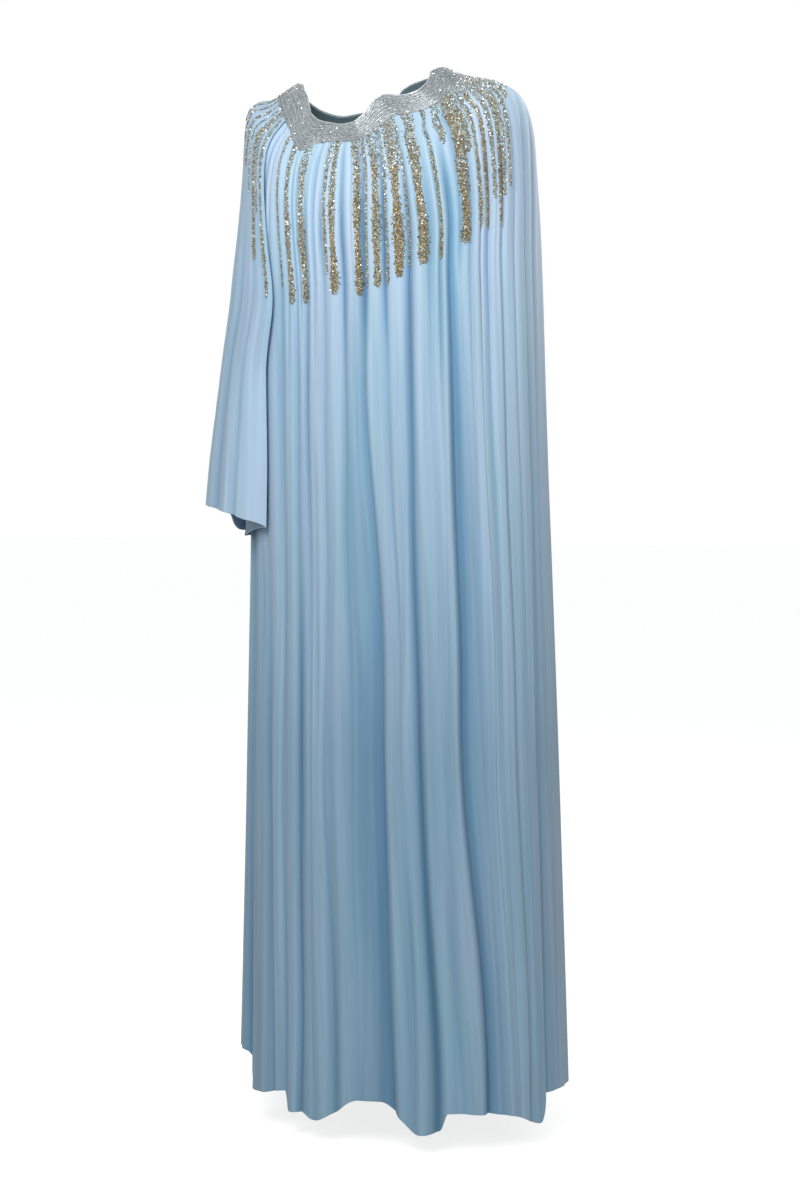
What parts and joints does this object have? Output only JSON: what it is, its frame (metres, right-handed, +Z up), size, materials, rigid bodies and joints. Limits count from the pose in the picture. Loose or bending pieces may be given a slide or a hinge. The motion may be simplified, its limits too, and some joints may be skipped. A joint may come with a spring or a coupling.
{
  "type": "kaftan dress",
  "caption": "Floor-length gathered kaftan dress with a scalloped beaded neck yoke, a cape-like left side and one wide slanted sleeve.",
  "frame": {"origin": "midway between the two highest points of the neck edge, where the wearer's shoulders hold the dress", "axes": "+Z up along the dress, -Y towards its front, +X towards the wearer's left"},
  "size_m": [0.5466, 0.4011, 1.4748],
  "materials": {
    "beaded_yoke": "silver seed beads and crystals sewn close together on cloth",
    "silk_cloth": "thin pale blue silk with a soft sheen, gathered"
  },
  "bodies": {
    "root": {"neck_yoke": "beaded_yoke", "front_right_panel": "silk_cloth", "front_left_panel": "silk_cloth", "left_cape_panel": "silk_cloth", "back_left_panel": "silk_cloth", "back_right_panel": "silk_cloth", "right_sleeve": "silk_cloth"}
  },
  "joints": []
}
